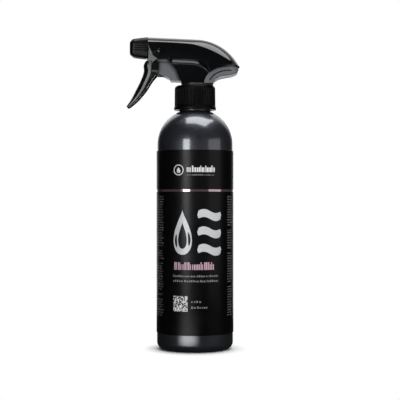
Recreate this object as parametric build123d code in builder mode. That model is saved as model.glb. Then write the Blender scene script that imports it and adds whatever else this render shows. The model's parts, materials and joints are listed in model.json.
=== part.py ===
from build123d import *
import os
from math import acos, asin, cos, degrees, radians, sin, sqrt, tan

# A 500 ml trigger-spray bottle for clay lubricant: a round bottle with a wrap
# label, and a pump head held on by a ribbed screw closure.
# Millimetres. Z = 0 is the plane the bottle stands on and Z runs up its axis.
# The nozzle points along -X, and the front of the label faces -Y.

os.makedirs("parts", exist_ok=True)

# ---- Driving dimensions ----

# Bottle body
body_radius = 31.5
bottle_wall = 0.7
heel_radius = 6.0
foot_inner_radius = 22.5
push_up = 7.0
shoulder_z = 169.8
shoulder_radius = 29.5

# Bottle neck, a 28 mm screw finish
neck_radius = 12.7
mouth_radius = 10.9
rim_z = 214.0
bead_z = 199.6
bead_radius = 13.9
thread_pitch = 4.233
thread_crest = 13.7
thread_start_z = 204.8

# Label
label_gap = 0.05
label_film = 0.45
label_bottom_z = 14.3
label_height = 150.0

# Closure
closure_bottom_z = 198.4
closure_top_z = 218.6
closure_roof = 1.8
closure_bore = 14.15
closure_hole = 9.4
closure_crest = 12.95
skirt_radius = 17.0
hem_radius = 17.5
rib_count = 48

# Pump
pump_z = 233.5
chamber_radius = 6.2
cylinder_radius = 7.5
cylinder_mouth_x = -31.0
chamber_end_x = -10.5
barrel_z = 249.9
barrel_radius = 4.6
spigot_end_x = -47.0
valve_seat_x = -36.0
valve_chamber_radius = 3.2
passage_radius = 1.9
ball_radius = 2.38
seat_bore = 1.6
seat_z = 222.6
ball_travel = 1.2
tube_radius = 2.5
tube_end_z = 13.5

# Trigger
pivot_x = -30.6
pivot_z = 245.6
trunnion_radius = 2.6
pull_angle = 26.0
arm_inner_y = 9.7
arm_outer_y = 11.9

# Shroud
shroud_half_width = 14.0
shroud_wall = 1.7
shroud_front_x = -38.5
tail_corner = 10.0
neck_half_width = 11.0
neck_inner_y = 9.6
back_center_z = 216.2
back_radius = 41.0
top_slope = 2.5

# Nozzle
nozzle_rear_x = -38.9
nozzle_front_x = -54.0

# Fits
running_gap = 0.06
assembly_gap = 0.05


def axial(x):
    """A sketch plane across the nozzle axis direction at X = x, with local axes Y and Z."""
    return Plane.YZ.offset(x)


def level(z):
    """A horizontal sketch plane at height z."""
    return Plane.XY.offset(z)


def x_axis_at(z):
    """An axis along X through the middle of the head at height z."""
    return Axis((0, 0, z), (1, 0, 0))


def ring_section(inner, outer, low, high):
    """A rectangle in the XZ plane for a ring turned about Z."""
    with BuildSketch(Plane.XZ) as section:
        with Locations(((inner + outer) / 2, (low + high) / 2)):
            Rectangle(outer - inner, high - low)
    return section.sketch


def thread_section(root_radius, crest, root_half, crest_half, z):
    """The trapezoid of one screw thread ridge in the XZ plane."""
    with BuildSketch(Plane.XZ) as section:
        with BuildLine():
            Polyline(
                (root_radius, z - root_half),
                (crest, z - crest_half),
                (crest, z + crest_half),
                (root_radius, z + root_half),
                close=True,
            )
        make_face()
    return section.sketch


def tail_prism(end_x, half_width, corner):
    """An upright prism over the whole head that ends at X = end_x, with corners rounded in plan."""
    length = end_x - nozzle_front_x
    with BuildSketch(level(rim_z), mode=Mode.PRIVATE) as plan:
        with Locations((end_x, 0)):
            RectangleRounded(length, 2 * half_width, corner, align=(Align.MAX, Align.CENTER))
    return extrude(plan.sketch, amount=back_radius + 10, mode=Mode.PRIVATE)


# ---- Bottle ----

dome_radius = (foot_inner_radius**2 + push_up**2) / (2 * push_up)
dome_center_z = push_up - dome_radius
dome_inside = dome_radius + bottle_wall
foot_inside_radius = sqrt(dome_inside**2 - (bottle_wall - dome_center_z) ** 2)
foot_outer_radius = body_radius - heel_radius
shoulder_center_r = body_radius - shoulder_radius
shoulder_inside = shoulder_radius - bottle_wall
shoulder_angle = degrees(acos((neck_radius - shoulder_center_r) / shoulder_radius))
mouth_angle = degrees(acos((mouth_radius - shoulder_center_r) / shoulder_inside))
inside_radius = body_radius - bottle_wall
thread_root = neck_radius - 0.1

with BuildPart() as bottle:
    with BuildSketch(Plane.XZ):
        with BuildLine():
            foot_angle = degrees(asin(foot_inner_radius / dome_radius))
            CenterArc((0, dome_center_z), dome_radius, 90, -foot_angle)
            Line((foot_inner_radius, 0), (foot_outer_radius, 0))
            CenterArc((foot_outer_radius, heel_radius), heel_radius, -90, 90)
            Line((body_radius, heel_radius), (body_radius, shoulder_z))
            shoulder = CenterArc(
                (shoulder_center_r, shoulder_z), shoulder_radius, 0, shoulder_angle
            )
            Polyline(
                shoulder @ 1,
                (neck_radius, bead_z),
                (bead_radius, bead_z + 0.4),
                (bead_radius, bead_z + 1.0),
                (thread_root, bead_z + 1.5),
                (thread_root, rim_z - 0.6),
                (thread_root - 0.6, rim_z),
                (mouth_radius, rim_z),
                (mouth_radius, shoulder_z + shoulder_inside * sin(radians(mouth_angle))),
            )
            CenterArc(
                (shoulder_center_r, shoulder_z), shoulder_inside, mouth_angle, -mouth_angle
            )
            Line((inside_radius, shoulder_z), (inside_radius, heel_radius))
            CenterArc(
                (foot_outer_radius, heel_radius), heel_radius - bottle_wall, 0, -90
            )
            Line((foot_outer_radius, bottle_wall), (foot_inside_radius, bottle_wall))
            inside_angle = degrees(asin(foot_inside_radius / dome_inside))
            CenterArc((0, dome_center_z), dome_inside, 90 - inside_angle, inside_angle)
            Line((0, push_up + bottle_wall), (0, push_up))
        make_face()
    revolve(axis=Axis.Z)
    with BuildLine() as neck_helix:
        Helix(thread_pitch, 1.5 * thread_pitch, thread_root, center=(0, 0, thread_start_z))
    sweep(
        sections=thread_section(thread_root - 0.3, thread_crest, 1.2, 0.5, thread_start_z),
        path=neck_helix.wires()[0],
        is_frenet=True,
    )
bottle.part.label = "bottle"
export_step(bottle.part, "parts/bottle.step")

# ---- Label, one film wrapped right round ----

label_inside = body_radius + label_gap
with BuildPart() as label:
    add(
        ring_section(
            label_inside,
            label_inside + label_film,
            label_bottom_z,
            label_bottom_z + label_height,
        )
    )
    revolve(axis=Axis.Z)
label.part.label = "label"
export_step(label.part, "parts/label.step")

# ---- Closure: a ribbed cup with a hole in its roof for the pump ----

hem_top_z = 201.2
roof_rounding = 2.6
rib_groove_radius = 0.7
skirt_top_radius = skirt_radius - 0.15
closure_thread_drop = 1.65
closure_thread_z = thread_start_z - closure_thread_drop

with BuildPart() as closure:
    with BuildSketch(Plane.XZ):
        with BuildLine():
            Polyline(
                (closure_bore, closure_bottom_z),
                (hem_radius - 0.3, closure_bottom_z),
                (hem_radius, closure_bottom_z + 0.3),
                (hem_radius, hem_top_z - 0.8),
                (skirt_radius, hem_top_z),
                (skirt_top_radius, closure_top_z - roof_rounding),
            )
            CenterArc(
                (skirt_top_radius - roof_rounding, closure_top_z - roof_rounding),
                roof_rounding,
                0,
                90,
            )
            Polyline(
                (skirt_top_radius - roof_rounding, closure_top_z),
                (closure_hole, closure_top_z),
                (closure_hole, closure_top_z - closure_roof),
                (closure_bore, closure_top_z - closure_roof),
                (closure_bore, closure_bottom_z),
            )
        make_face()
    revolve(axis=Axis.Z)
    with BuildSketch(level(hem_top_z + 0.2)):
        with PolarLocations(skirt_radius + 0.25, rib_count):
            Circle(rib_groove_radius)
    extrude(amount=closure_top_z - roof_rounding - hem_top_z + 0.4, mode=Mode.SUBTRACT)
    with BuildLine() as closure_helix:
        Helix(thread_pitch, 1.25 * thread_pitch, closure_bore, center=(0, 0, closure_thread_z))
    sweep(
        sections=thread_section(closure_bore + 0.3, closure_crest, 1.1, 0.5, closure_thread_z),
        path=closure_helix.wires()[0],
        is_frenet=True,
    )
closure.part.label = "closure"
export_step(closure.part, "parts/closure.step")

# ---- Tube retainer: flange under the closure, ball seat and dip tube socket ----

flange_bottom_z = 215.2
flange_top_z = closure_top_z - closure_roof - 0.1
flange_radius = 13.0
hub_radius = 7.15
hub_top_z = 223.7
socket_top_z = 221.0
socket_bottom_z = 205.0
plug_inner = 9.2
plug_outer = 10.6
seat_mouth = seat_bore + (hub_top_z - seat_z)

with BuildPart() as tube_retainer:
    with BuildSketch(Plane.XZ):
        with BuildLine():
            Polyline(
                (tube_radius + assembly_gap, socket_bottom_z),
                (tube_radius + 1.9, socket_bottom_z),
                (tube_radius + 1.9, flange_bottom_z),
                (plug_inner, flange_bottom_z),
                (plug_inner, flange_bottom_z - 3.7),
                (plug_outer, flange_bottom_z - 3.7),
                (plug_outer, flange_bottom_z),
                (flange_radius, flange_bottom_z),
                (flange_radius, flange_top_z),
                (hub_radius, flange_top_z),
                (hub_radius, hub_top_z),
                (seat_mouth, hub_top_z),
                (seat_bore, seat_z),
                (seat_bore, socket_top_z),
                (tube_radius + assembly_gap, socket_top_z),
                close=True,
            )
        make_face()
    revolve(axis=Axis.Z)
tube_retainer.part.label = "tube_retainer"
export_step(tube_retainer.part, "parts/tube_retainer.step")

# ---- Neck gasket, between the flange and the bottle's rim ----

with BuildPart() as neck_gasket:
    add(
        ring_section(
            plug_outer + 0.1,
            flange_radius - 0.1,
            rim_z + assembly_gap,
            flange_bottom_z - assembly_gap,
        )
    )
    revolve(axis=Axis.Z)
neck_gasket.part.label = "neck_gasket"
export_step(neck_gasket.part, "parts/neck_gasket.step")

# ---- Dip tube ----

with BuildPart() as dip_tube:
    add(ring_section(1.9, tube_radius, tube_end_z, socket_top_z - assembly_gap))
    revolve(axis=Axis.Z)
dip_tube.part.label = "dip_tube"
export_step(dip_tube.part, "parts/dip_tube.step")

# ---- Intake strainer: a slotted cap on the dip tube's foot ----

strainer_bottom_z = 10.6
strainer_radius = 3.6

with BuildPart() as intake_strainer:
    with BuildSketch(Plane.XZ):
        with BuildLine():
            Polyline(
                (0, strainer_bottom_z),
                (strainer_radius, strainer_bottom_z),
                (strainer_radius, tube_end_z + 6.5),
                (tube_radius + assembly_gap, tube_end_z + 6.5),
                (tube_radius + assembly_gap, tube_end_z - assembly_gap),
                (1.9, tube_end_z - assembly_gap),
                (1.9, strainer_bottom_z + 0.8),
                (0, strainer_bottom_z + 0.8),
                close=True,
            )
        make_face()
    revolve(axis=Axis.Z)
    with BuildSketch(level(strainer_bottom_z)):
        with PolarLocations(strainer_radius, 8):
            Rectangle(4.0, 0.6)
    extrude(amount=2.2, mode=Mode.SUBTRACT)
intake_strainer.part.label = "intake_strainer"
export_step(intake_strainer.part, "parts/intake_strainer.step")

# ---- Inlet ball, resting on its conical seat ----

# The seat slopes at 45 degrees, so the ball touches it this far below its own centre.
seat_drop = ball_radius * cos(radians(45))
ball_z = seat_z + (seat_drop - seat_bore) + seat_drop + 0.03

with BuildPart() as inlet_ball:
    with Locations((0, 0, ball_z)):
        Sphere(ball_radius)
inlet_ball.part.label = "inlet_ball"
export_step(inlet_ball.part, "parts/inlet_ball.step")

# ---- Pump body: base, column, cylinder, outlet barrel and rear saddle ----

socket_ceiling_z = hub_top_z + 0.1
base_tube_radius = closure_hole - 0.2
base_tube_top_z = 225.3
ball_stop_z = ball_z + ball_travel + sqrt(ball_radius**2 - passage_radius**2) + 0.05
ball_chamber_radius = ball_radius + 0.37
column_radius = 5.5
column_bottom_z = 225.0
column_top_z = 254.0
base_plate_x = 1.95
base_plate_length = 26.5
base_plate_width = 22.0
base_plate_thickness = 1.45
cylinder_back_x = -3.0
port_radius = 1.2
barrel_bore_radius = 1.8
seal_groove_x = -45.2
seal_groove = 1.2
seal_groove_floor = 3.75
snap_x = -42.2
snap_rib = 0.8
deck_bottom_z = 238.0
deck_thickness = 2.0
deck_half_width = 9.3
web_thickness = 2.4
block_half_width = 7.8
saddle_half_width = 12.6
saddle_end_x = 36.4
saddle_corner = 8.6
saddle_wall = 1.8
saddle_lip = 1.5
flank_groove = 1.1

with BuildPart() as pump_body:
    # Base tube through the closure's hole, and the plate the closure turns under
    with BuildSketch(level(flange_top_z + assembly_gap)):
        Circle(base_tube_radius)
    extrude(amount=base_tube_top_z - flange_top_z - assembly_gap)
    with BuildSketch(level(closure_top_z + 0.25)):
        with Locations((base_plate_x, 0)):
            RectangleRounded(base_plate_length, base_plate_width, base_plate_width / 2 - 0.1)
    extrude(amount=base_plate_thickness)
    # Column
    with BuildSketch(level(column_bottom_z)):
        Circle(column_radius)
    extrude(amount=column_top_z - column_bottom_z)
    # Pump cylinder and outlet barrel
    with BuildSketch(axial(cylinder_mouth_x)):
        with Locations((0, pump_z)):
            Circle(cylinder_radius)
    extrude(amount=cylinder_back_x - cylinder_mouth_x)
    with BuildSketch(axial(spigot_end_x)):
        with Locations((0, barrel_z)):
            Circle(barrel_radius)
    extrude(amount=-spigot_end_x)
    # Deck plate over the cylinder, and the upright web between it and the barrel
    with BuildSketch(level(deck_bottom_z)):
        with Locations((-18.0, 0)):
            Rectangle(26.0, 2 * deck_half_width)
    extrude(amount=deck_thickness)
    with BuildSketch(Plane.XZ):
        with BuildLine():
            Polyline((cylinder_mouth_x, 239), (-34, 248), (0, 248), (0, 239), close=True)
        make_face()
    extrude(amount=web_thickness / 2, both=True)
    # Flat-sided block around the cylinder, from the deck plate down to the closure
    with BuildSketch(Plane.XZ):
        with BuildLine():
            Polyline(
                (-29.9, deck_bottom_z),
                (-29.9, 229.0),
                (-29.5, 228.0),
                (-21.2, 224.3),
                (-20.4, 222.4),
                (-8.0, 222.1),
                (-8.0, deck_bottom_z),
                close=True,
            )
        make_face()
    extrude(amount=block_half_width, both=True)
    # Rear saddle that closes the underside of the shroud's tail
    with BuildSketch(Plane.XZ):
        with BuildLine():
            saddle_low = Spline(
                (15.0, 220.0), (16.9, 223.0), (24.7, 226.1), (31.3, 227.3), (34.8, 228.7)
            )
            saddle_tip = ThreePointArc(saddle_low @ 1, (35.9, 230.9), (36.0, 233.4))
            saddle_top = Spline(
                saddle_tip @ 1, (30.5, 233.7), (24.7, 233.3), (18.75, 232.1), (13.1, 229.2)
            )
            saddle_front = Spline(saddle_top @ 1, (9.2, 225.1), (7.4, 220.0))
            Line(saddle_front @ 1, saddle_low @ 0)
        make_face()
    saddle = extrude(amount=2 * saddle_half_width, both=True, mode=Mode.PRIVATE)
    saddle &= tail_prism(saddle_end_x, saddle_half_width, saddle_corner)
    saddle_edges = saddle.edges().filter_by(
        lambda edge: edge.geom_type == GeomType.BSPLINE
        and abs(edge.center().Y) > saddle_half_width / 2
        and edge.center().Z < 231.5
        and edge.center().X > 15.2
    )
    add(saddle.fillet(saddle_lip, saddle_edges))
    with BuildSketch(Plane.XZ):
        with BuildLine():
            pocket_low = Spline((15.2, 224.6), (24.2, 228.2), (31.0, 229.4), (33.8, 231.2))
            Polyline(pocket_low @ 1, (33.8, 237.0), (15.2, 237.0), pocket_low @ 0)
        make_face()
    pocket = extrude(amount=2 * saddle_half_width, both=True, mode=Mode.PRIVATE)
    pocket &= tail_prism(
        saddle_end_x - saddle_wall, saddle_half_width - saddle_wall, saddle_corner - saddle_wall
    )
    add(pocket, mode=Mode.SUBTRACT)
    # Groove along each flank of the saddle
    for side in (-1, 1):
        with BuildSketch(Plane.XZ.offset(side * saddle_half_width)):
            with BuildLine():
                Spline((30.1, 230.2), (21.8, 229.5), (17.3, 227.6), (14.1, 225.0), (12.2, 221.9))
            trace(line_width=flank_groove)
        extrude(amount=-side * flank_groove, mode=Mode.SUBTRACT)
    # Snap rib that holds the nozzle on the spigot
    with BuildSketch(axial(snap_x - snap_rib / 2)):
        with Locations((0, barrel_z)):
            Circle(barrel_radius + 0.35)
    extrude(amount=snap_rib)
    # Chamber, from its open mouth to the end wall
    with BuildSketch(axial(cylinder_mouth_x)):
        with Locations((0, pump_z)):
            Circle(chamber_radius)
    extrude(amount=chamber_end_x - cylinder_mouth_x, mode=Mode.SUBTRACT)
    # Port from the chamber to the column, and the bore of the barrel
    with BuildSketch(axial(chamber_end_x)):
        with Locations((0, pump_z)):
            Circle(port_radius)
    extrude(amount=-chamber_end_x, mode=Mode.SUBTRACT)
    with BuildSketch(axial(valve_seat_x)):
        with Locations((0, barrel_z)):
            Circle(barrel_bore_radius)
    extrude(amount=-valve_seat_x, mode=Mode.SUBTRACT)
    with BuildSketch(axial(spigot_end_x)):
        with Locations((0, barrel_z)):
            Circle(valve_chamber_radius)
    extrude(amount=valve_seat_x - spigot_end_x, mode=Mode.SUBTRACT)
    # Groove for the nozzle seal
    with BuildSketch(axial(seal_groove_x - seal_groove / 2)):
        with Locations((0, barrel_z)):
            Circle(barrel_radius + 1.0)
            Circle(seal_groove_floor, mode=Mode.SUBTRACT)
    extrude(amount=seal_groove, mode=Mode.SUBTRACT)
    # Socket for the tube retainer, ball chamber and rising passage
    with BuildSketch(level(flange_top_z)):
        Circle(hub_radius + assembly_gap)
    extrude(amount=socket_ceiling_z - flange_top_z, mode=Mode.SUBTRACT)
    with BuildSketch(level(hub_top_z)):
        Circle(ball_chamber_radius)
    extrude(amount=ball_stop_z - hub_top_z, mode=Mode.SUBTRACT)
    with BuildSketch(level(hub_top_z)):
        Circle(passage_radius)
    extrude(amount=barrel_z + 2.6 - hub_top_z, mode=Mode.SUBTRACT)
    # Slot that lets liquid past the raised ball
    with BuildSketch(level(hub_top_z)):
        Rectangle(1.2, 2 * ball_chamber_radius)
    extrude(amount=ball_stop_z + 2.5 - hub_top_z, mode=Mode.SUBTRACT)
pump_body.part.label = "pump_body"
export_step(pump_body.part, "parts/pump_body.step")

# ---- Piston, its seal and the return spring ----

# The trigger's flat pushing face lies on a line through the pivot. It leans forward by
# half the pull at rest and backward by half the pull at the end of the stroke.
half_pull = radians(pull_angle / 2)
lever = pivot_z - pump_z
nose_radius = 3.0
face_gap = 0.03
nose_x = pivot_x - lever * tan(half_pull) + (nose_radius + face_gap) / cos(half_pull)
piston_radius = chamber_radius - running_gap
head_front_x = -29.2
head_back_x = -24.5
pocket_x = -27.0
pocket_radius = 4.9
groove_front_x = -28.6
groove_back_x = -27.6
groove_radius = 5.3

with BuildPart() as piston:
    with BuildSketch(Plane.XZ):
        with BuildLine():
            Line((nose_x - nose_radius, pump_z), (pocket_x, pump_z))
            Polyline(
                (pocket_x, pump_z),
                (pocket_x, pump_z + pocket_radius),
                (head_back_x, pump_z + pocket_radius),
                (head_back_x, pump_z + piston_radius),
                (groove_back_x, pump_z + piston_radius),
                (groove_back_x, pump_z + groove_radius),
                (groove_front_x, pump_z + groove_radius),
                (groove_front_x, pump_z + piston_radius),
                (head_front_x, pump_z + piston_radius),
                (head_front_x, pump_z + nose_radius),
                (nose_x, pump_z + nose_radius),
            )
            CenterArc((nose_x, pump_z), nose_radius, 90, 90)
        make_face()
    revolve(axis=x_axis_at(pump_z))
piston.part.label = "piston"
export_step(piston.part, "parts/piston.step")

with BuildPart() as piston_seal:
    with BuildSketch(axial(groove_front_x + 0.05)):
        with Locations((0, pump_z)):
            Circle(chamber_radius - 0.03)
            Circle(groove_radius + 0.03, mode=Mode.SUBTRACT)
    extrude(amount=groove_back_x - groove_front_x - 0.1)
piston_seal.part.label = "piston_seal"
export_step(piston_seal.part, "parts/piston_seal.step")


def coil_path(x_start, x_end, z, radius, turns):
    """A helix along X between two wire centres."""
    with BuildLine() as coil:
        Helix((x_end - x_start) / turns, x_end - x_start, radius, (x_start, 0, z), (1, 0, 0))
    return coil.wires()[0]


def wire_section(path, radius):
    """The round section of a wire at the start of its path."""
    with BuildSketch(Plane(origin=path @ 0, z_dir=path % 0)) as section:
        Circle(radius)
    return section.sketch


spring_wire = 0.4
spring_start_x = pocket_x + spring_wire + assembly_gap
spring_end_x = chamber_end_x - spring_wire - assembly_gap
spring_path = coil_path(spring_start_x, spring_end_x, pump_z, 4.1, 6.5)

with BuildPart() as return_spring:
    sweep(sections=wire_section(spring_path, spring_wire), path=spring_path, is_frenet=True)
return_spring.part.label = "return_spring"
export_step(return_spring.part, "parts/return_spring.step")

# ---- Outlet valve, its spring and the swirl core ----

valve_back_x = valve_seat_x - 2.2
swirl_back_x = -44.4
swirl_front_x = spigot_end_x + 0.1

with BuildPart() as outlet_valve:
    with BuildSketch(Plane.XZ):
        with BuildLine():
            Polyline(
                (valve_back_x, barrel_z),
                (valve_back_x, barrel_z + 2.9),
                (valve_seat_x - 1.15, barrel_z + 2.9),
                (valve_seat_x + 0.8, barrel_z + 0.95),
                (valve_seat_x + 0.8, barrel_z),
                close=True,
            )
        make_face()
    revolve(axis=x_axis_at(barrel_z))
outlet_valve.part.label = "outlet_valve"
export_step(outlet_valve.part, "parts/outlet_valve.step")

outlet_wire = 0.2
outlet_path = coil_path(
    swirl_back_x + outlet_wire + assembly_gap,
    valve_back_x - outlet_wire - assembly_gap,
    barrel_z,
    2.0,
    5.0,
)

with BuildPart() as outlet_spring:
    sweep(sections=wire_section(outlet_path, outlet_wire), path=outlet_path, is_frenet=True)
outlet_spring.part.label = "outlet_spring"
export_step(outlet_spring.part, "parts/outlet_spring.step")

with BuildPart() as swirl_core:
    with BuildSketch(axial(swirl_front_x)):
        with Locations((0, barrel_z)):
            Circle(valve_chamber_radius - assembly_gap)
            with PolarLocations(valve_chamber_radius, 3):
                Rectangle(1.6, 0.8, mode=Mode.SUBTRACT)
    extrude(amount=swirl_back_x - swirl_front_x)
swirl_core.part.label = "swirl_core"
export_step(swirl_core.part, "parts/swirl_core.step")

# ---- Nozzle cap, turning on the spigot, with its orifice insert and seal ----

insert_radius = 2.5
insert_back_x = -51.0
bore_end_x = spigot_end_x - 0.3
snap_groove = 1.1
sleeve_radius = 6.1
hollow_width = 14.0
hollow_depth = 8.5


def nozzle_section(x, half, corner):
    """A rounded square across the nozzle."""
    with BuildSketch(axial(x)) as section:
        with Locations((0, barrel_z)):
            RectangleRounded(2 * half, 2 * half, corner)
    return section.sketch


with BuildPart() as nozzle_cap:
    loft(sections=[nozzle_section(nozzle_rear_x, 8.9, 5.0), nozzle_section(-51.8, 7.4, 4.2)])
    loft(sections=[nozzle_section(-51.8, 7.4, 4.2), nozzle_section(nozzle_front_x, 5.4, 3.6)])
    # Dished face around the orifice, seat for the insert and the channel behind it
    with BuildSketch(axial(nozzle_front_x)):
        with Locations((0, barrel_z)):
            Circle(3.8)
    extrude(amount=0.5, mode=Mode.SUBTRACT)
    with BuildSketch(axial(nozzle_front_x)):
        with Locations((0, barrel_z)):
            Circle(insert_radius + assembly_gap)
    extrude(amount=insert_back_x - nozzle_front_x, mode=Mode.SUBTRACT)
    with BuildSketch(axial(insert_back_x)):
        with Locations((0, barrel_z)):
            Circle(1.0)
    extrude(amount=bore_end_x - insert_back_x, mode=Mode.SUBTRACT)
    # Bore on the spigot, with the groove for its snap rib
    with BuildSketch(axial(bore_end_x)):
        with Locations((0, barrel_z)):
            Circle(barrel_radius + running_gap)
    extrude(amount=nozzle_rear_x - bore_end_x, mode=Mode.SUBTRACT)
    with BuildSketch(axial(snap_x - snap_groove / 2)):
        with Locations((0, barrel_z)):
            Circle(barrel_radius + 0.45)
    extrude(amount=snap_groove, mode=Mode.SUBTRACT)
    # Hollow between the outer shell and the sleeve
    with BuildSketch(axial(nozzle_rear_x)):
        with Locations((0, barrel_z)):
            RectangleRounded(hollow_width, hollow_width, 3.2)
            Circle(sleeve_radius, mode=Mode.SUBTRACT)
    extrude(amount=-hollow_depth, mode=Mode.SUBTRACT)
nozzle_cap.part.label = "nozzle_cap"
export_step(nozzle_cap.part, "parts/nozzle_cap.step")

with BuildPart() as orifice_insert:
    with BuildSketch(axial(nozzle_front_x + 0.5)):
        with Locations((0, barrel_z)):
            Circle(insert_radius)
            Circle(0.35, mode=Mode.SUBTRACT)
    extrude(amount=insert_back_x - nozzle_front_x - 0.55)
orifice_insert.part.label = "orifice_insert"
export_step(orifice_insert.part, "parts/orifice_insert.step")

with BuildPart() as nozzle_seal:
    with BuildSketch(Plane.XZ):
        with Locations((seal_groove_x, barrel_z + 4.18)):
            Circle(0.42)
    revolve(axis=x_axis_at(barrel_z))
nozzle_seal.part.label = "nozzle_seal"
export_step(nozzle_seal.part, "parts/nozzle_seal.step")

# ---- Trigger: finger pad, two side arms, trunnions and the pushing rib ----

arm_radius = 8.0
hub_rear_radius = 5.6
pad_top_z = 238.9
pad_wall = 2.2


def front_taper(widths):
    """A YZ outline, symmetric in Y, through (half width, z) pairs, cut right through X."""
    right = [(half, z) for half, z in widths]
    left = [(-half, z) for half, z in reversed(widths)]
    with BuildPart() as prism:
        with BuildSketch(axial(-70)):
            with BuildLine():
                Polyline(*right, *left, close=True)
            make_face()
        extrude(amount=60)
    return prism.part


pusher_half = 2.5
pusher_low = 230.5
pusher_high = 236.5


def pushing_face_x(z):
    """X of the pushing face at rest, which lies on a leaning line through the pivot."""
    return pivot_x - (pivot_z - z) * tan(half_pull)


with BuildPart() as trigger:
    with BuildSketch(Plane.XZ):
        with BuildLine():
            arm_nose = CenterArc((pivot_x, pivot_z), arm_radius, 145, 48)
            pad_front = Spline(
                (-39.9, pad_top_z),
                (-43.0, 235.4),
                (-42.7, 229.6),
                (-45.5, 222.2),
                (-49.3, 214.6),
                (-52.8, 207.7),
                (-56.6, 201.6),
            )
            Line(arm_nose @ 1, pad_front @ 0)
            tip = ThreePointArc(pad_front @ 1, (-56.5, 200.1), (-55.0, 200.3))
            pad_back = Spline(
                tip @ 1, (-47.3, 206.7), (-40.8, 214.6), (-35.6, 222.8), (-30.7, 228.6)
            )
            arm_rear = Spline(pad_back @ 1, (-29.9, 233.0), (-30.3, 237.2))
            hub_arc = CenterArc((pivot_x, pivot_z), hub_rear_radius, -60, 150)
            Line(arm_rear @ 1, hub_arc @ 0)
            Line(hub_arc @ 1, arm_nose @ 0)
        make_face()
    extrude(amount=arm_outer_y, both=True)
    add(
        front_taper([(8.0, 199.0), (9.2, 208.0), (arm_outer_y, 230.0), (arm_outer_y, 255.0)]),
        mode=Mode.INTERSECT,
    )
    # Channel behind the finger pad, open at the back and at the top
    with BuildPart(mode=Mode.PRIVATE) as channel:
        with BuildSketch(Plane.XZ):
            with BuildLine():
                channel_front = Spline(
                    (-39.9 - 0.6, pad_top_z),
                    (-43.0 + pad_wall, 235.4),
                    (-42.7 + pad_wall, 229.6),
                    (-45.5 + pad_wall, 222.2),
                    (-49.3 + pad_wall, 214.6),
                    (-51.0, 206.2),
                )
                Polyline(
                    channel_front @ 1,
                    (-40.0, 199.0),
                    (-20.0, 199.0),
                    (-20.0, 256.0),
                    (-60.0, 256.0),
                    (-60.0, pad_top_z),
                    channel_front @ 0,
                )
            make_face()
        extrude(amount=arm_inner_y, both=True)
        add(
            front_taper([(6.0, 199.0), (7.2, 208.0), (arm_inner_y, 230.0), (arm_inner_y, 260.0)]),
            mode=Mode.INTERSECT,
        )
    add(channel.part, mode=Mode.SUBTRACT)
    # Pushing rib
    with BuildSketch(Plane.XZ):
        with BuildLine():
            Polyline(
                (-41.5, pusher_low),
                (pushing_face_x(pusher_low), pusher_low),
                (pushing_face_x(pusher_high), pusher_high),
                (-41.5, pusher_high),
                close=True,
            )
        make_face()
    extrude(amount=pusher_half, both=True)
    # Trunnions
    for side in (-1, 1):
        with BuildSketch(Plane.XZ.offset(side * (arm_outer_y - 0.2))):
            with Locations((pivot_x, pivot_z)):
                Circle(trunnion_radius)
        extrude(amount=side * 2.1)
trigger.part.label = "trigger"
export_step(trigger.part, "parts/trigger.step")

# ---- Shroud: a thin cover with a wide top, and a narrower neck below a ledge ----

tail_angle = 25.0
top_edge_radius = 4.5
shroud_inner_y = shroud_half_width - shroud_wall
top_start_angle = 90 - top_slope
tail_end_x = 37.5
crown_low_z = 239.8
ledge = [(12.9, 229.6), (10.9, 232.7), (8.0, 235.6), (3.0, 238.3), (-4.0, 239.2)]
ledge_front = (-22.7, 240.3)
floor = 1.5


def back_point(radius, angle):
    """A point on a circle about the centre of the shroud's rounded back."""
    return (radius * cos(radians(angle)), back_center_z + radius * sin(radians(angle)))


def top_height(x, radius):
    """Height of the sloping top line at X, for the outside or the inside of the wall."""
    corner_x, corner_z = back_point(radius, top_start_angle)
    return corner_z + (corner_x - x) * tan(radians(top_slope))


inner_radius = back_radius - shroud_wall
front_wall_x = shroud_front_x + 1.2

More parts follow.
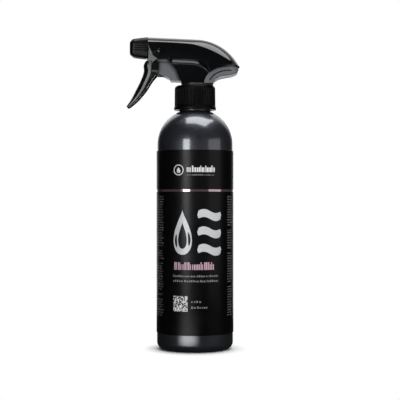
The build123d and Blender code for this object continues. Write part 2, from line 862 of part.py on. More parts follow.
with BuildPart() as shroud:
    # Wide upper part
    with BuildSketch(Plane.XZ):
        with BuildLine():
            back_arc = CenterArc(
                (0, back_center_z), back_radius, top_start_angle, tail_angle - top_start_angle
            )
            top_front = (shroud_front_x, top_height(shroud_front_x, back_radius))
            Line(top_front, back_arc @ 0)
            tail_low = Spline(
                back_arc @ 1, (30.5, 233.9), (24.7, 233.5), (18.75, 232.3), ledge[0]
            )
            ledge_line = Spline(*ledge)
            Polyline(ledge_line @ 1, ledge_front, (-30.6, 240.0))
            ear = ThreePointArc((-30.6, 240.0), (-35.3, 243.2), (shroud_front_x, 250.6))
            Line(ear @ 1, top_front)
        make_face()
    extrude(amount=shroud_half_width, both=True)
    add(tail_prism(tail_end_x, shroud_half_width, tail_corner), mode=Mode.INTERSECT)
    crown_edges = shroud.edges().filter_by(
        lambda edge: abs(edge.center().Y) > shroud_half_width - 3
        and edge.center().Z > crown_low_z
        and edge.length > 15
    )
    fillet(crown_edges, radius=top_edge_radius)
    # Narrow neck
    with BuildSketch(Plane.XZ):
        with BuildLine():
            neck_front = Spline(
                ledge_front, (-19.6, 236.0), (-16.8, 233.1), (-14.75, 229.4), (-11.25, 220.5)
            )
            Line(neck_front @ 1, (7.1, 220.5))
            neck_back = Spline((7.1, 220.5), (8.8, 225.2), ledge[0])
            Polyline(
                neck_back @ 1,
                (13.9, 230.9),
                (8.0, 237.0),
                (0.0, 242.0),
                (-20.0, 242.0),
                ledge_front,
            )
        make_face()
    extrude(amount=neck_half_width, both=True)
    # Cavity of the upper part, open under the tail and around the trigger's arms
    with BuildSketch(Plane.XZ):
        with BuildLine():
            inner_arc = CenterArc(
                (0, back_center_z), inner_radius, top_start_angle, tail_angle - 1 - top_start_angle
            )
            inner_front = (front_wall_x, top_height(front_wall_x, inner_radius))
            Line(inner_front, inner_arc @ 0)
            floor_line = Spline(
                (14.4, 231.4), (12.2, 234.2), (8.8, 237.1), (3.2, 239.9), (-4.0, 240.8)
            )
            Polyline(
                inner_arc @ 1,
                (35.5, 225.0),
                (14.4, 225.0),
                floor_line @ 0,
            )
            Polyline(
                floor_line @ 1,
                (-21.5, 240.3 + floor),
                (-23.4, 240.3 + floor),
                (-23.4, 230.0),
                (-45.0, 230.0),
                (-45.0, 250.6),
                (front_wall_x, 250.6),
                inner_front,
            )
        make_face()
    cavity = extrude(amount=shroud_half_width, both=True, mode=Mode.PRIVATE)
    cavity &= tail_prism(tail_end_x - shroud_wall, shroud_inner_y, tail_corner - shroud_wall)
    add(cavity, mode=Mode.SUBTRACT)
    # Cavity of the neck
    with BuildSketch(Plane.XZ):
        with BuildLine():
            Polyline((-30, 215), (16, 215), (16, 236), (2, 246), (-30, 246), close=True)
        make_face()
    extrude(amount=neck_inner_y, both=True, mode=Mode.SUBTRACT)
    # Clearance for the barrel, and the holes the trigger's trunnions turn in
    with BuildSketch(axial(shroud_front_x)):
        with Locations((0, barrel_z)):
            Circle(barrel_radius + 0.2)
    extrude(amount=2.0, mode=Mode.SUBTRACT)
    with BuildSketch(Plane.XZ):
        with Locations((pivot_x, pivot_z)):
            Circle(trunnion_radius + 0.08)
    extrude(amount=shroud_half_width + 1, both=True, mode=Mode.SUBTRACT)
shroud.part.label = "shroud"
export_step(shroud.part, "parts/shroud.step")
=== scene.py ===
"""A trigger-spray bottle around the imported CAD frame: looks, floor, light and camera."""

import json
import random
from math import asin, atan2, cos, pi, radians, sin, sqrt, tan

import bmesh
import bpy
import numpy as np
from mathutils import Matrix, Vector


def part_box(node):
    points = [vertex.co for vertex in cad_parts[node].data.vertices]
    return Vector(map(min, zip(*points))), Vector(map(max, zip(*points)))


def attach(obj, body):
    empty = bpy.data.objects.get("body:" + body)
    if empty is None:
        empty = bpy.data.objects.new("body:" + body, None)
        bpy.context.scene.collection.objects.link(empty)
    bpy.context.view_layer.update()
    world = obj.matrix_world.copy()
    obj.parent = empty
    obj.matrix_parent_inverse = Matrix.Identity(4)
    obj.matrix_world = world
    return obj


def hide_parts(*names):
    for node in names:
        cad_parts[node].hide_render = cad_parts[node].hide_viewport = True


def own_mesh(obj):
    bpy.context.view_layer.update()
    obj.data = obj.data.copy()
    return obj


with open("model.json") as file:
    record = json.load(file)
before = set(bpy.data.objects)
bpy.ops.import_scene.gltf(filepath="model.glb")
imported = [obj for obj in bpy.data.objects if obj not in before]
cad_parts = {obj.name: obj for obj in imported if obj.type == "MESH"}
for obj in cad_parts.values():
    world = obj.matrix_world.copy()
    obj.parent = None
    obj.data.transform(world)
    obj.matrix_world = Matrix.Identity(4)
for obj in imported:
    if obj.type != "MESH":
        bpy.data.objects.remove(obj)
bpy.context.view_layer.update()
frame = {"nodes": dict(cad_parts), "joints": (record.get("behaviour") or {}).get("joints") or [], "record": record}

MM = 0.001
scene = bpy.context.scene


# ---- Places taken from the frame, in millimetres ----

def mm_box(node):
    """A CAD node's lowest and highest corner in millimetres."""
    low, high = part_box(node)
    return low / MM, high / MM


def joint(name):
    """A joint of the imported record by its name."""
    return next(j for j in frame["joints"] if j["name"] == name)


BOTTLE_HIGH = mm_box("bottle")[1]
LABEL_LOW, LABEL_HIGH = mm_box("label")
CLOSURE_LOW, CLOSURE_HIGH = mm_box("closure")
SHROUD_LOW, SHROUD_HIGH = mm_box("shroud")
NOZZLE_LOW, NOZZLE_HIGH = mm_box("nozzle_cap")
SPRING_LOW, SPRING_HIGH = mm_box("return_spring")
VALVE_SPRING_LOW, VALVE_SPRING_HIGH = mm_box("outlet_spring")
PIVOT_X, _, PIVOT_Z = [v / MM for v in joint("trigger_pull")["pos_m"]]
NOZZLE_AXIS_Z = joint("nozzle_turn")["pos_m"][2] / MM
BODY_RADIUS = BOTTLE_HIGH.x
RIM_Z = BOTTLE_HIGH.z
LABEL_RADIUS = LABEL_HIGH.x


# ---- Curves ----

def arc(center, radius, start, end, steps):
    """Points on a circle between two angles in degrees."""
    angles = [radians(start + (end - start) * i / steps) for i in range(steps + 1)]
    return [(center[0] + radius * cos(a), center[1] + radius * sin(a)) for a in angles]


def smooth_curve(points, steps):
    """A Catmull-Rom curve through points of any dimension."""
    p = [np.array(q, float) for q in points]
    p = [2 * p[0] - p[1]] + p + [2 * p[-1] - p[-2]]
    out = []
    for i in range(1, len(p) - 2):
        for step in range(steps):
            t = step / steps
            out.append(0.5 * (
                2 * p[i]
                + (p[i + 1] - p[i - 1]) * t
                + (2 * p[i - 1] - 5 * p[i] + 4 * p[i + 1] - p[i + 2]) * t**2
                + (3 * p[i] - p[i - 1] - 3 * p[i + 1] + p[i + 2]) * t**3
            ))
    return out + [p[-2]]


def height_line(points, steps=12):
    """A smooth height Z(X) through a few (X, Z) points."""
    curve = np.array(smooth_curve(points, steps))
    return lambda x: float(np.interp(x, curve[:, 0], curve[:, 1]))


# ---- Meshes ----

def new_object(name, vertices, faces):
    """A smooth-shaded object from vertices in millimetres."""
    mesh = bpy.data.meshes.new(name)
    mesh.from_pydata([tuple(c * MM for c in v) for v in vertices], [], faces)
    work = bmesh.new()
    work.from_mesh(mesh)
    bmesh.ops.remove_doubles(work, verts=work.verts, dist=0.002 * MM)
    bmesh.ops.dissolve_degenerate(work, edges=work.edges, dist=0.001 * MM)
    bmesh.ops.recalc_face_normals(work, faces=work.faces)
    work.to_mesh(mesh)
    work.free()
    mesh.shade_smooth()
    obj = bpy.data.objects.new(name, mesh)
    scene.collection.objects.link(obj)
    return obj


def grid_faces(rows, columns, around, joined, first=0):
    """Quads between neighbouring rows of points, numbered row by row."""
    faces = []
    for r in range(rows if joined else rows - 1):
        for c in range(columns if around else columns - 1):
            a, b = r * columns, ((r + 1) % rows) * columns
            d = (c + 1) % columns
            faces.append([first + i for i in (a + c, a + d, b + d, b + c)])
    return faces


def skin(name, rows, around=True, joined=False, capped=False):
    """A surface through rows of points; capped closes the first and last row with a face."""
    columns = len(rows[0])
    faces = grid_faces(len(rows), columns, around, joined)
    if capped:
        last = (len(rows) - 1) * columns
        faces += [list(range(columns))[::-1], [last + i for i in range(columns)]]
    return new_object(name, [p for row in rows for p in row], faces)


def turned(name, profile, angles, joined=False, radius_change=None):
    """A profile of (radius, Z) points turned about Z."""
    rows = []
    for r, z in profile:
        row = []
        for a in angles:
            radius = r + (radius_change(r, z, a) if radius_change else 0)
            row.append((radius * cos(a), radius * sin(a), z))
        rows.append(row)
    return skin(name, rows, joined=joined)


def full_circle(count):
    """Angles that divide a circle evenly."""
    return [2 * pi * i / count for i in range(count)]


def tube(name, path, radius, sides=12):
    """A round wire along a path of points, with closed ends."""
    rows = []
    for i, point in enumerate(path):
        ahead, behind = path[min(i + 1, len(path) - 1)], path[max(i - 1, 0)]
        along = (Vector(ahead) - Vector(behind)).normalized()
        side = along.cross(Vector((1, 0, 0))).normalized()
        up = side.cross(along)
        rows.append([
            tuple(Vector(point) + radius * (cos(a) * side + sin(a) * up))
            for a in full_circle(sides)
        ])
    return skin(name, rows, capped=True)


def plate(name, outline, y_low, y_high):
    """A flat plate from an XZ outline between two Y values."""
    return skin(name, [[(x, y, z) for x, z in outline] for y in (y_low, y_high)], capped=True)


def pin(name, center, radius, y_start, y_end, chamfer, dimple=0.12):
    """A round pin along Y with a chamfered and dimpled end."""
    toward = 1 if y_end > y_start else -1
    steps = [
        (0, y_start), (radius, y_start), (radius, y_end - toward * chamfer),
        (radius - chamfer, y_end), (radius * 0.4, y_end), (radius * 0.3, y_end - toward * dimple),
        (0, y_end - toward * dimple),
    ]
    rows = [
        [(center[0] + r * cos(a), y, center[1] + r * sin(a)) for a in full_circle(48)]
        for r, y in steps
    ]
    return skin(name, rows)


def modifier(obj, kind, **settings):
    """Adds a modifier with its settings."""
    item = obj.modifiers.new(kind.lower(), kind)
    for key, value in settings.items():
        setattr(item, key, value)
    return item


def apply_modifiers(obj):
    """Replaces an object's mesh by its evaluated mesh."""
    graph = bpy.context.evaluated_depsgraph_get()
    mesh = bpy.data.meshes.new_from_object(obj.evaluated_get(graph))
    obj.modifiers.clear()
    obj.data = mesh


def combine(obj, others, operation):
    """Adds closed meshes to obj or cuts them from it, and removes them."""
    for other in others:
        modifier(obj, "BOOLEAN", operation=operation, object=other, solver="EXACT")
    apply_modifiers(obj)
    for other in others:
        bpy.data.objects.remove(other)


def join(obj, others):
    """Takes other objects' faces into obj."""
    vertices = [v.co / MM for v in obj.data.vertices]
    faces = [list(f.vertices) for f in obj.data.polygons]
    for other in others:
        start = len(vertices)
        vertices += [v.co / MM for v in other.data.vertices]
        faces += [[start + i for i in f.vertices] for f in other.data.polygons]
        bpy.data.objects.remove(other)
    mesh = bpy.data.meshes.new(obj.name)
    mesh.from_pydata([tuple(v * MM) for v in vertices], [], faces)
    mesh.shade_smooth()
    obj.data = mesh


def rounded_edges(obj, width, angle=35, segments=2):
    """Softens the crisp edges of an object and keeps its flats looking flat."""
    modifier(
        obj, "BEVEL", width=width * MM, segments=segments, limit_method="ANGLE",
        angle_limit=radians(angle),
    )
    modifier(obj, "WEIGHTED_NORMAL", weight=60)


def dress(obj, material):
    """Gives an object one material."""
    obj.data.materials.clear()
    obj.data.materials.append(material)


def place(obj, body, slot, material, *nodes):
    """Puts a piece on its body, with its material, in place of CAD nodes."""
    dress(obj, material)
    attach(obj, body)
    if nodes:
        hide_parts(*nodes)
    return obj


# ---- Materials ----

def feed(links, socket, value):
    """Links a value to a socket, or sets it as the socket's own value."""
    if hasattr(value, "is_linked"):
        links.new(value, socket)
    else:
        socket.default_value = value


def set_range(node, start, end, low, high):
    """Makes a Map Range node map start..end to low..high."""
    settings = (("From Min", start), ("From Max", end), ("To Min", low), ("To Max", high))
    for key, number in settings:
        node.inputs[key].default_value = number
    return node.outputs[0]


class Shader:
    """A small helper around one material's nodes."""

    def __init__(self, name):
        self.material = bpy.data.materials.new(name)
        self.material.use_nodes = True
        self.nodes = self.material.node_tree.nodes
        self.links = self.material.node_tree.links
        self.surface = self.nodes["Principled BSDF"]
        self.place = self.nodes.new("ShaderNodeTexCoord").outputs["Object"]

    def add(self, kind, **inputs):
        node = self.nodes.new("ShaderNode" + kind)
        for key, value in inputs.items():
            feed(self.links, node.inputs[key], value)
        return node

    def set(self, name, value):
        feed(self.links, self.surface.inputs[name], value)

    def noise(self, scale, stretch=(1, 1, 1), detail=4.0, roughness=0.55):
        """Noise in the object's own space; scale is in cells per metre."""
        mapping = self.add("Mapping", Vector=self.place, Scale=stretch)
        texture = self.add(
            "TexNoise", Vector=mapping.outputs[0], Scale=scale, Detail=detail, Roughness=roughness
        )
        return texture.outputs[0]

    def range(self, value, low, high, start=0.3, end=0.7):
        """Maps a value from start..end to low..high."""
        return set_range(self.add("MapRange", Value=value), start, end, low, high)

    def blend(self, factor, one, two):
        """Mixes two colours; the numbers are the sockets of a Mix node set to colours."""
        node = self.nodes.new("ShaderNodeMix")
        node.data_type = "RGBA"
        for socket, value in ((0, factor), (6, one), (7, two)):
            feed(self.links, node.inputs[socket], value)
        return node.outputs[2]

    def distance(self, point):
        """Distance in metres from a point in the object's own space."""
        node = self.nodes.new("ShaderNodeVectorMath")
        node.operation = "DISTANCE"
        self.links.new(self.place, node.inputs[0])
        node.inputs[1].default_value = point
        return node.outputs["Value"]

    def mix_shader(self, factor, one, two):
        node = self.nodes.new("ShaderNodeMixShader")
        for socket, value in zip(node.inputs, (factor, one, two)):
            self.links.new(value, socket)
        return node.outputs[0]

    def bump(self, *layers):
        """Stacks height textures; each layer is (height, distance in mm)."""
        normal = None
        for height, distance in layers:
            node = self.add("Bump", Height=height, Distance=distance * MM, Strength=1.0)
            if normal:
                self.links.new(normal, node.inputs["Normal"])
            normal = node.outputs[0]
        self.links.new(normal, self.surface.inputs["Normal"])

    def edges(self, radius=0.6):
        """1 at crisp convex edges and 0 elsewhere, for worn edges."""
        bevel = self.add("Bevel", Radius=radius * MM)
        shape = self.nodes.new("ShaderNodeNewGeometry").outputs["Normal"]
        product = self.nodes.new("ShaderNodeVectorMath")
        product.operation = "DOT_PRODUCT"
        self.links.new(bevel.outputs[0], product.inputs[0])
        self.links.new(shape, product.inputs[1])
        return self.range(product.outputs["Value"], 1.0, 0.0, 0.75, 0.99)

    def recess_shade(self, reach=4.0):
        """1 deep in grooves and under overhangs and 0 on open faces, for painted shade in recesses."""
        open_share = self.add("AmbientOcclusion", Distance=reach * MM).outputs["AO"]
        return self.range(open_share, 1.0, 0.0, 0.5, 0.98)


def linear(value):
    """A 0-255 display value as linear light."""
    return ((value / 255 + 0.055) / 1.055) ** 2.4 if value > 10 else value / 255 / 12.92


def rgb(r, g, b):
    """A colour given as 0-255 display values, turned into linear light."""
    return tuple(linear(c) for c in (r, g, b)) + (1,)


def plastic(
    name, color, shade, roughness, bump_mm, coat=0.0, wear=0.25, specular=0.5, shade_recesses=False
):
    """Moulded plastic: flow marks in colour, uneven gloss, fine texture, worn edges and, if asked, painted shade
    in recesses.
    """
    s = Shader(name)
    flow = s.noise(28, (1, 1, 0.35), detail=3)
    fine = s.noise(2600, detail=2)
    broad = s.noise(160, detail=5)
    base = s.blend(s.range(flow, 0, 1), color, shade)
    lighter = tuple(min(1, c * 2.2 + 0.012) for c in color[:3]) + (1,)
    worn = s.nodes.new("ShaderNodeMath")
    worn.operation = "MULTIPLY"
    s.links.new(s.edges(), worn.inputs[0])
    s.links.new(s.range(broad, 0, wear), worn.inputs[1])
    # Painted shade: ambient occlusion darkens grooves and overhangs towards a near-black copy of the colour.
    if shade_recesses:
        base = s.blend(s.recess_shade(), base, tuple(c * 0.12 for c in color[:3]) + (1,))
    s.set("Base Color", s.blend(worn.outputs[0], base, lighter))
    s.set("Roughness", s.range(broad, roughness * 0.82, roughness * 1.2))
    s.set("Specular IOR Level", specular)
    s.set("Coat Weight", coat)
    s.set("Coat Roughness", 0.08)
    s.bump((fine, bump_mm), (broad, bump_mm * 1.5))
    return s.material


def pearl_plastic():
    """Charcoal plastic with fine pearl flakes under a gloss skin."""
    s = Shader("pearl_charcoal")
    cells = s.add("TexVoronoi", Vector=s.place, Scale=3400.0)
    flow = s.noise(22, (1, 1, 0.3), detail=3)
    body = s.blend(s.range(flow, 0, 1), rgb(74, 77, 84), rgb(81, 84, 91))
    flakes = s.range(cells.outputs["Color"], 0, 0.35, 0.2, 0.9)
    s.set("Base Color", s.blend(flakes, body, rgb(120, 125, 135)))
    s.set("Metallic", 0.92)
    s.set("Roughness", s.range(s.noise(120, detail=5), 0.34, 0.42))
    s.set("Coat Weight", 1.0)
    s.set("Coat IOR", 1.95)
    s.set("Coat Roughness", 0.13)
    s.bump((s.noise(3000, detail=1), 0.0012), (s.noise(90, (1, 1, 0.5), detail=2), 0.012))
    return s.material


def film():
    """Satin black label film with a faint grain."""
    s = Shader("label_film")
    broad = s.noise(110, detail=5)
    s.set("Base Color", s.blend(s.range(s.noise(60), 0, 1), rgb(3, 3, 4), rgb(5, 5, 6)))
    s.set("Roughness", s.range(broad, 0.26, 0.34))
    s.set("Specular IOR Level", 0.3)
    s.bump((s.noise(5200, detail=1), 0.0012), (broad, 0.004))
    return s.material


def ink(name, color, shade, roughness=0.45, metallic=0.0):
    """Printed ink with slightly uneven cover."""
    s = Shader(name)
    s.set("Base Color", s.blend(s.range(s.noise(900, detail=3), 0, 1), color, shade))
    s.set("Roughness", s.range(s.noise(1500, detail=2), roughness * 0.85, roughness * 1.15))
    s.set("Metallic", metallic)
    s.bump((s.noise(4200, detail=2), 0.002))
    return s.material


def foil():
    """Stamped rose-gold foil, brushed along its length."""
    s = Shader("rose_foil")
    streaks = s.noise(300, (1, 1, 14), detail=3)
    s.set("Base Color", s.blend(s.range(streaks, 0, 1), rgb(236, 210, 217), rgb(212, 173, 187)))
    s.set("Metallic", 0.95)
    s.set("Roughness", s.range(streaks, 0.08, 0.15))
    s.bump((streaks, 0.002))
    return s.material


def steel(name, roughness, scale):
    """Drawn or polished steel with fine marks."""
    s = Shader(name)
    marks = s.noise(scale, (0.3, 1, 1), detail=5)
    s.set("Base Color", s.blend(s.range(marks, 0, 1), rgb(186, 188, 192), rgb(158, 160, 165)))
    s.set("Metallic", 1.0)
    s.set("Roughness", s.range(marks, roughness * 0.8, roughness * 1.3))
    s.bump((marks, 0.002))
    return s.material


# ---- Bottle ----

WALL = 0.7
HEEL = 6.0
FOOT_INNER = 22.5
PUSH_UP = 7.0
SHOULDER_Z = 169.8
SHOULDER_RADIUS = 29.5
NECK_RADIUS = 12.7
MOUTH_RADIUS = 10.9
BEAD_Z = 199.6
BEAD_RADIUS = 13.9
THREAD_PITCH = 2 * pi / abs(next(
    c["ratio"] for c in frame["record"]["behaviour"]["couplings"] if c["joint"] == "closure_turn"
)) / MM
THREAD_CREST = 13.7
THREAD_START_Z = 204.8


def bottle_profile():
    """The closed outline of the bottle's wall, from the middle of the base up and back inside."""
    dome = (FOOT_INNER**2 + PUSH_UP**2) / (2 * PUSH_UP)
    dome_z = PUSH_UP - dome
    half_angle = asin(FOOT_INNER / dome) * 180 / pi
    shoulder = (BODY_RADIUS - SHOULDER_RADIUS, SHOULDER_Z)
    end = 180 / pi * atan2(
        sqrt(SHOULDER_RADIUS**2 - (NECK_RADIUS - shoulder[0])**2), NECK_RADIUS - shoulder[0]
    )
    outside = arc((0, dome_z), dome, 90, 90 - half_angle, 14)
    outside += arc((FOOT_INNER + 0.6, 0.6), 0.6, 200, 270, 4)
    outside += arc((BODY_RADIUS - HEEL, HEEL), HEEL, -90, 0, 14)
    outside += [(BODY_RADIUS, HEEL + (SHOULDER_Z - HEEL) * i / 12) for i in range(1, 12)]
    outside += arc(shoulder, SHOULDER_RADIUS, 0, end - 4, 30)
    outside += arc((NECK_RADIUS + 2.2, SHOULDER_Z + 28.1), 2.2, 232, 180, 5)
    outside += [
        (NECK_RADIUS, BEAD_Z), (BEAD_RADIUS - 0.2, BEAD_Z + 0.2), (BEAD_RADIUS, BEAD_Z + 0.45),
        (BEAD_RADIUS, BEAD_Z + 1.0), (BEAD_RADIUS - 0.3, BEAD_Z + 1.3), (NECK_RADIUS, BEAD_Z + 1.6),
        (NECK_RADIUS, RIM_Z - 0.7), (NECK_RADIUS - 0.3, RIM_Z - 0.15), (NECK_RADIUS - 0.7, RIM_Z),
        (MOUTH_RADIUS + 0.3, RIM_Z), (MOUTH_RADIUS, RIM_Z - 0.3), (MOUTH_RADIUS, BEAD_Z + 1),
    ]
    inside = arc(shoulder, SHOULDER_RADIUS - WALL, end, 0, 26)
    inside += [(BODY_RADIUS - WALL, HEEL)]
    inside += arc((BODY_RADIUS - HEEL, HEEL), HEEL - WALL, 0, -90, 8)
    inside += [(FOOT_INNER + 1.2, WALL)]
    inside += arc((0, dome_z), dome + WALL, 90 - half_angle, 90, 10)
    return outside + [p for p in inside if p[1] < BEAD_Z + 1 and p[0] <= BODY_RADIUS - WALL]


def seam_angles(count, width=0.7):
    """Angles round the bottle, closer together at the two mould seams on its sides."""
    angles = set(full_circle(count))
    for middle in (0, pi):
        for i in range(-2, 3):
            angles.add((middle + radians(width * i / 2)) % (2 * pi))
    return sorted(angles)


def mould_seam(radius, z, angle):
    """The faint ridge where the two halves of the mould met."""
    off = abs(sin(angle)) * radius
    return 0.07 * max(0, 1 - off / 0.35) if radius > BODY_RADIUS * 0.45 and z < BEAD_Z - 1 else 0


def ridge(name, radius, crest, start_z, turns, root_half, crest_half):
    """A screw thread ridge that fades in and out at its ends."""
    steps = int(72 * turns)
    rows = []
    for i in range(steps + 1):
        a = 2 * pi * turns * i / steps
        fade = min(1, 7 * min(i, steps - i) / steps + 0.02)
        z = start_z + THREAD_PITCH * a / (2 * pi)
        top = radius + (crest - radius) * fade
        section = [(radius, -root_half), (top, -crest_half), (top, crest_half), (radius, root_half)]
        rows.append([(r * cos(a), r * sin(a), z + dz) for r, dz in section])
    return skin(name, rows, capped=True)


def build_bottle():
    """The bottle's wall with its thread."""
    bottle = turned("bottle_skin", bottle_profile(), seam_angles(224), radius_change=mould_seam)
    thread = ridge("bottle_thread", NECK_RADIUS - 0.2, THREAD_CREST, THREAD_START_Z, 1.5, 1.2, 0.5)
    join(bottle, [thread])
    rounded_edges(bottle, 0.12, 50)
    place(bottle, "bottle", "bottle", pearl_plastic(), "bottle")


# ---- Label film and its print ----

OVERLAP_START = 176.0
OVERLAP_END = 184.0
FILM_STEP = 0.12
PRINT_HEIGHT = 0.05
PRINT_ROOT = 0.03


def wrap(s, z, lift=0.0):
    """A point of the unrolled label, s mm to the right of its middle, laid round the bottle."""
    a = s / LABEL_RADIUS
    r = LABEL_RADIUS + lift
    return (r * sin(a), -r * cos(a), z)


def build_label():
    """One film with its ends lapped at the back."""
    inner = LABEL_RADIUS - 0.4
    low, high = LABEL_LOW.z, LABEL_HIGH.z
    profile = [
        (inner, low), (LABEL_RADIUS - 0.12, low), (LABEL_RADIUS, low + 0.12),
        (LABEL_RADIUS, high - 0.12), (LABEL_RADIUS - 0.12, high), (inner, high),
    ]
    start, end = radians(OVERLAP_START - 90), radians(OVERLAP_END - 90)

    def lap(radius, z, angle):
        rise = min(max((angle - start) / 0.012, 0), 1) * min(max((end - angle) / 0.05, 0), 1)
        return FILM_STEP * rise if radius > inner + 0.01 else 0

    angles = sorted(set(full_circle(224)) | {start, start + 0.012, end - 0.05, end})
    label = turned("label_film", profile, angles, joined=True, radius_change=lap)
    rounded_edges(label, 0.04, 50, 1)
    place(label, "bottle", "label", film(), "label")


class Print:
    """Flat printed shapes of one colour on the label, as thin closed solids."""

    def __init__(self):
        self.vertices = []
        self.faces = []

    def ladder(self, columns, lift=PRINT_HEIGHT):
        """A shape between a low and a high edge, given as (s, low z, high z) columns."""
        start = len(self.vertices)
        for s, low, high in columns:
            for z in (low, high):
                self.vertices += [wrap(s, z, lift), wrap(s, z, -PRINT_ROOT)]
        count = len(columns)
        for i in range(count - 1):
            a, b = start + 4 * i, start + 4 * (i + 1)
            for p, q in ((0, 2), (2, 3), (3, 1), (1, 0)):
                self.faces.append([a + p, b + p, b + q, a + q])
        last = start + 4 * (count - 1)
        self.faces.append([start, start + 2, start + 3, start + 1])
        self.faces.append([last + 1, last + 3, last + 2, last])

    def bar(self, s0, s1, z0, z1):
        steps = max(1, int((s1 - s0) / 1.6))
        self.ladder([(s0 + (s1 - s0) * i / steps, z0, z1) for i in range(steps + 1)])

    def ring(self, outer, inner):
        """A closed band between two outlines of (s, z) points."""
        start = len(self.vertices)
        count = len(outer)
        for lift in (PRINT_HEIGHT, -PRINT_ROOT):
            for outline in (outer, inner):
                self.vertices += [wrap(s, z, lift) for s, z in outline]
        for i in range(count):
            j = (i + 1) % count
            for a, b in ((0, 1), (1, 3), (3, 2), (2, 0)):
                self.faces.append([start + a * count + i, start + a * count + j,
                                   start + b * count + j, start + b * count + i])

    def dashes(self, s0, s1, z0, height, dash, rng, tall=0.3):
        """A row of short blocks of uneven width, standing for a line of small print."""
        s = s0
        while s < s1:
            width = min(dash * rng.uniform(0.55, 1.25), s1 - s)
            top = height * (1.0 if rng.random() < tall else 0.72)
            if width > dash * 0.25:
                self.bar(s, s + width, z0, z0 + top)
            s += width + dash * rng.choice((0.4, 0.4, 0.4, 0.55, 0.9))

    def build(self, name, material):
        piece = new_object(name, self.vertices, self.faces)
        modifier(piece, "WEIGHTED_NORMAL", weight=60)
        place(piece, "bottle", "label", material)


def drop_outline(s, z, width, height, count=64):
    """A drop standing on a round foot at (s, z), with its point at the top."""
    r = width / 2
    points = []
    for i in range(count):
        a = 2 * pi * i / count
        up = (1 - cos(a)) / 2
        points.append((s + r * sin(a) * (1 - up**2.2) ** 0.85 * 1.08, z + height * up**1.12))
    return points


def wave_bar(s0, s1, z, thick, swing):
    """Columns of a wavy band with rounded ends."""
    columns = []
    for i in range(25):
        t = i / 24
        s = s0 + (s1 - s0) * t
        middle = z + swing * sin(2 * pi * t)
        edge = min(t, 1 - t) * (s1 - s0)
        half = thick / 2 * (sqrt(1 - (1 - edge / 1.4) ** 2) if edge < 1.4 else 1)
        columns.append((s, middle - max(half, 0.15), middle + max(half, 0.15)))
    return columns


HALF_TURN = pi * LABEL_RADIUS
BADGE = (-13.6, 147.9)
FOIL_LOW, FOIL_HIGH = 130.5, 132.3
DROP_S = -10.2
MOSAIC = (-18.4, 33.8)
MOSAIC_CELL = 0.78
MOSAIC_GAP = 0.03
BACK_LEFT, BACK_RIGHT = -HALF_TURN + 8, -HALF_TURN + 36
TABLE_LINE = 0.35


def print_header(white, grey, rng):
    """A small drop in a ring, a row of blocks and a fine line of dashes."""
    s, z = BADGE
    circles = [
        [(s + radius * sin(a), z + radius * cos(a)) for a in full_circle(40)]
        for radius in (4.4, 3.7)
    ]
    white.ring(*circles)
    white.ring(drop_outline(s, 145.4, 3.4, 5.0, 32), drop_outline(s, 146.4, 0.5, 0.9, 32))
    white.dashes(-6.6, 16.8, 146.2, 5.2, 1.0, rng)
    grey.dashes(-6.4, 16.6, 143.4, 1.1, 1.1, rng)


def print_emblem(silver):
    """A big drop outline and three waves."""
    silver.ring(drop_outline(DROP_S, 79.6, 16.6, 36.0), drop_outline(DROP_S, 84.4, 7.8, 21.5))
    for z in (83.6, 97.6, 111.6):
        silver.ladder(wave_bar(2.0, 23.2, z, 6.4, 1.7))


def print_title(pink, white, grey, rng):
    """A title row, two lines of small print, a mosaic square and two short lines beside it."""
    pink.dashes(-17.4, 16.0, 67.4, 6.2, 1.1, rng)
    for z in (61.6, 57.6):
        grey.dashes(-18.5, 20.0, z, 1.7, 1.25, rng)
    size = MOSAIC_CELL * (1 - MOSAIC_GAP)
    for column in range(16):
        for row in range(16):
            if rng.random() < 0.56:
                s, z = MOSAIC[0] + column * MOSAIC_CELL, MOSAIC[1] + row * MOSAIC_CELL
                white.bar(s, s + size, z, z + size)
    for end, z in ((5.2, 41.0), (10.2, 36.3)):
        grey.dashes(-3.0, end, z, 1.7, 1.25, rng)


def print_sides(grey, rng):
    """Two columns of fine print, left and right of the front."""
    for s0, s1 in ((-39.5, -29.5), (31.5, 40.5)):
        z = 126.0
        while z > 28:
            if rng.random() < 0.9:
                grey.dashes(s0, s1 - rng.uniform(0, 3), z, 0.9, 1.1, rng)
            z -= 2.1


def print_back(silver, grey, rng):
    """Two bars, rows of dashes and a framed table, clear of the lap."""
    for z in (120.0, 112.0):
        silver.bar(BACK_LEFT, BACK_RIGHT, z, z + 3.2)
    z = 104.0
    while z > 52:
        grey.dashes(BACK_LEFT, BACK_RIGHT - rng.uniform(0, 7), z, 1.1, 1.4, rng)
        z -= 2.6
    for z in (46.0, 40.0, 34.0, 28.0):
        grey.bar(BACK_LEFT, BACK_RIGHT, z, z + TABLE_LINE)
    for offset in (8.0, 22.0, 35.65):
        s = -HALF_TURN + offset
        grey.bar(s, s + TABLE_LINE, 28.0, 46.3)


def build_print():
    """Generic label art: a drop, waves, plain bars, small print as dashes, a foil line."""
    rng = random.Random(11)
    white, silver, pink, grey, line = Print(), Print(), Print(), Print(), Print()
    print_header(white, grey, rng)
    line.ladder([(-HALF_TURN + 2 * HALF_TURN * i / 180, FOIL_LOW, FOIL_HIGH) for i in range(181)])
    print_emblem(silver)
    print_title(pink, white, grey, rng)
    print_sides(grey, rng)
    print_back(silver, grey, rng)
    white.build("label_print_white", ink("white_ink", rgb(214, 214, 216), rgb(200, 200, 203)))
    silver.build(
        "label_print_silver",
        ink("silver_ink", rgb(198, 200, 203), rgb(182, 184, 187), 0.4, 0.25),
    )
    pink.build("label_print_pink", ink("pink_ink", rgb(186, 154, 168), rgb(172, 140, 154)))
    grey.build("label_print_grey", ink("grey_ink", rgb(120, 118, 119), rgb(100, 98, 99)))
    line.build("label_foil", foil())


# ---- Closure ----

RIBS = 48
HEM_TOP = 2.8
ROOF_ROUNDING = 2.6
SKIRT = 17.0
BORE = 14.15
HOLE = 9.4
ROOF = 1.8
GROOVE_DEPTH = 0.62
GROOVE_HALF = 0.3


